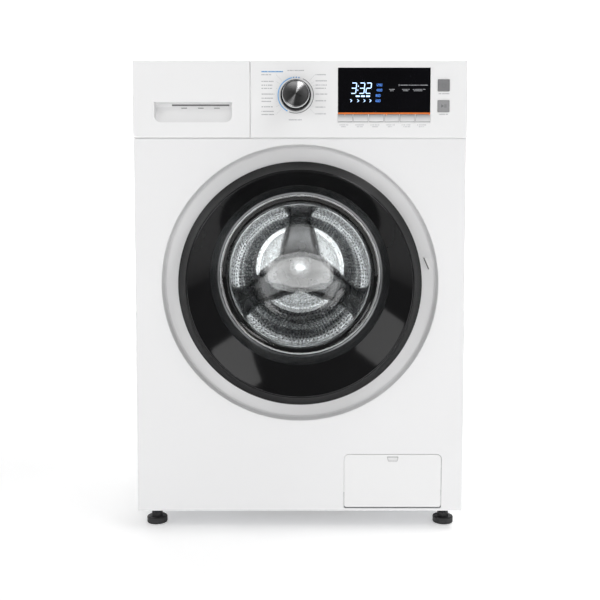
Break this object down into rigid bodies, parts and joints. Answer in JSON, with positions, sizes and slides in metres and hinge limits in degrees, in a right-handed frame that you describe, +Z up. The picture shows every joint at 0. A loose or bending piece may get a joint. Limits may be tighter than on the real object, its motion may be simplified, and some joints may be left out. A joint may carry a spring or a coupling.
{
  "type": "front load washing machine",
  "caption": "Free-standing front loading washing machine with a round black door, drawer, dial, display, keys and levelling feet",
  "frame": {"origin": "floor level under the middle of the machine", "axes": "+Z up, the door faces -Y, +X to the right seen from the front"},
  "size_m": [0.595, 0.565, 0.85],
  "materials": {
    "white_enamel": "smooth white enamel",
    "white_laminate": "white laminate",
    "white_abs": "moulded white plastic",
    "galvanised": "galvanised sheet",
    "gloss_black": "high gloss black",
    "black_knob": "black plastic",
    "spun_metal": "spun aluminium",
    "satin_ring": "satin chrome",
    "clear_glass": "clear glass",
    "grey_frame": "grey plastic",
    "orange_plastic": "orange plastic",
    "silver_keys": "silver painted plastic",
    "grey_keys": "grey plastic",
    "stainless": "stainless steel",
    "lifter_plastic": "grey plastic",
    "cast_alloy": "cast alloy",
    "steel": "plated steel",
    "motor_paint": "dark enamel",
    "tub_plastic": "off-white filled plastic",
    "concrete": "cast concrete",
    "black_rubber": "black rubber",
    "grey_rubber": "grey rubber",
    "green_board": "dark moulded case",
    "white_valve": "white plastic"
  },
  "bodies": {
    "cabinet": {"cabinet_sides": "white_enamel", "rear_panel": "galvanised", "rear_access_cover": "galvanised", "base_frame": "galvanised", "top_braces": "galvanised", "worktop": "white_laminate", "front_panel": "white_enamel", "control_fascia": "white_abs", "display_window": "gloss_black", "accent_strip": "orange_plastic", "control_module": "green_board", "dispenser_housing": "tub_plastic", "inlet_valve": "white_valve", "rear_glands": "black_rubber", "panel_screws": "steel", "drain_pump": "white_valve", "door_lock": "tub_plastic", "hinge_bracket": "cast_alloy", "tub_front_half": "tub_plastic", "tub_rear_half": "tub_plastic", "drum_bearings": "steel", "counterweights": "concrete", "heater_element": "steel", "drive_motor": "motor_paint", "drive_belt": "black_rubber", "suspension_springs": "steel", "damper_cylinders": "steel", "damper_rods": "steel", "tub_hoses": "black_rubber", "door_gasket": "grey_rubber"},
    "drum": {"drum_front": "stainless", "drum_wall": "stainless", "drum_lifters": "lifter_plastic", "drum_spider": "cast_alloy", "drum_pulley": "cast_alloy"},
    "motor_rotor": {"motor_pulley": "steel"},
    "door": {"door_outer_trim": "gloss_black", "door_inner_frame": "grey_frame", "door_chrome_ring": "satin_ring", "door_glass": "clear_glass", "door_hinge_arm": "cast_alloy"},
    "latch": {"latch_hook": "steel"},
    "drawer": {"drawer_front": "white_abs", "drawer_tray": "tub_plastic"},
    "flap": {"service_flap": "white_abs"},
    "filter": {"filter_cap": "white_valve"},
    "dial": {"dial_knob": "black_knob", "dial_face": "spun_metal"},
    "power_key": {"power_button": "grey_keys"},
    "start_key": {"start_button": "grey_keys"},
    "key_1": {"function_button_1": "silver_keys"},
    "key_2": {"function_button_2": "silver_keys"},
    "key_3": {"function_button_3": "silver_keys"},
    "key_4": {"function_button_4": "silver_keys"},
    "key_5": {"function_button_5": "silver_keys"},
    "key_6": {"function_button_6": "silver_keys"},
    "foot_front_left_body": {"foot_front_left": "black_rubber"},
    "foot_front_right_body": {"foot_front_right": "black_rubber"},
    "foot_rear_left_body": {"foot_rear_left": "black_rubber"},
    "foot_rear_right_body": {"foot_rear_right": "black_rubber"}
  },
  "joints": [
    {"name": "drum_spin", "type": "hinge", "parent": "cabinet", "child": "drum", "pos_m": [0, 0, 0.468], "axis": [0, 1, 0], "continuous": true},
    {"name": "motor_spin", "type": "hinge", "parent": "cabinet", "child": "motor_rotor", "pos_m": [0, 0, 0.13], "axis": [0, 1, 0], "continuous": true},
    {"name": "door_swing", "type": "hinge", "parent": "cabinet", "child": "door", "pos_m": [-0.2, -0.2585, 0.453], "axis": [0, 0, -1], "range_deg": [0, 115]},
    {"name": "latch_pivot", "type": "hinge", "parent": "door", "child": "latch", "pos_m": [0.203, -0.2535, 0.453], "axis": [0, 0, 1], "range_deg": [0, 8], "stiffness_Nm_per_rad": 0.4},
    {"name": "drawer_slide", "type": "slide", "parent": "cabinet", "child": "drawer", "axis": [0, -1, 0], "range_m": [0, 0.19]},
    {"name": "flap_hinge", "type": "hinge", "parent": "cabinet", "child": "flap", "pos_m": [0.1695, -0.2465, 0.048], "axis": [1, 0, 0], "range_deg": [0, 90]},
    {"name": "filter_turn", "type": "hinge", "parent": "cabinet", "child": "filter", "pos_m": [0.1695, -0.2305, 0.09175], "axis": [0, -1, 0], "range_deg": [0, 90]},
    {"name": "dial_turn", "type": "hinge", "parent": "cabinet", "child": "dial", "pos_m": [-0.0075, -0.2605, 0.787], "axis": [0, 1, 0], "continuous": true},
    {"name": "power_key_press", "type": "slide", "parent": "cabinet", "child": "power_key", "axis": [0, 1, 0], "range_m": [0, 0.001], "stiffness_N_per_m": 900, "springref_m": -0.0004},
    {"name": "start_key_press", "type": "slide", "parent": "cabinet", "child": "start_key", "axis": [0, 1, 0], "range_m": [0, 0.001], "stiffness_N_per_m": 900, "springref_m": -0.0004},
    {"name": "key_1_press", "type": "slide", "parent": "cabinet", "child": "key_1", "axis": [0, 1, 0], "range_m": [0, 0.001], "stiffness_N_per_m": 900, "springref_m": -0.0004},
    {"name": "key_2_press", "type": "slide", "parent": "cabinet", "child": "key_2", "axis": [0, 1, 0], "range_m": [0, 0.001], "stiffness_N_per_m": 900, "springref_m": -0.0004},
    {"name": "key_3_press", "type": "slide", "parent": "cabinet", "child": "key_3", "axis": [0, 1, 0], "range_m": [0, 0.001], "stiffness_N_per_m": 900, "springref_m": -0.0004},
    {"name": "key_4_press", "type": "slide", "parent": "cabinet", "child": "key_4", "axis": [0, 1, 0], "range_m": [0, 0.001], "stiffness_N_per_m": 900, "springref_m": -0.0004},
    {"name": "key_5_press", "type": "slide", "parent": "cabinet", "child": "key_5", "axis": [0, 1, 0], "range_m": [0, 0.001], "stiffness_N_per_m": 900, "springref_m": -0.0004},
    {"name": "key_6_press", "type": "slide", "parent": "cabinet", "child": "key_6", "axis": [0, 1, 0], "range_m": [0, 0.001], "stiffness_N_per_m": 900, "springref_m": -0.0004},
    {"name": "foot_front_left_turn", "type": "hinge", "parent": "cabinet", "child": "foot_front_left_body", "pos_m": [-0.27, -0.2055, 0], "axis": [0, 0, 1], "continuous": true},
    {"name": "foot_front_right_turn", "type": "hinge", "parent": "cabinet", "child": "foot_front_right_body", "pos_m": [0.27, -0.2055, 0], "axis": [0, 0, 1], "continuous": true},
    {"name": "foot_rear_left_turn", "type": "hinge", "parent": "cabinet", "child": "foot_rear_left_body", "pos_m": [-0.27, 0.2215, 0], "axis": [0, 0, 1], "continuous": true},
    {"name": "foot_rear_right_turn", "type": "hinge", "parent": "cabinet", "child": "foot_rear_right_body", "pos_m": [0.27, 0.2215, 0], "axis": [0, 0, 1], "continuous": true}
  ],
  "couplings": [
    {"joint": "motor_spin", "follows": "drum_spin", "ratio": 14}
  ]
}
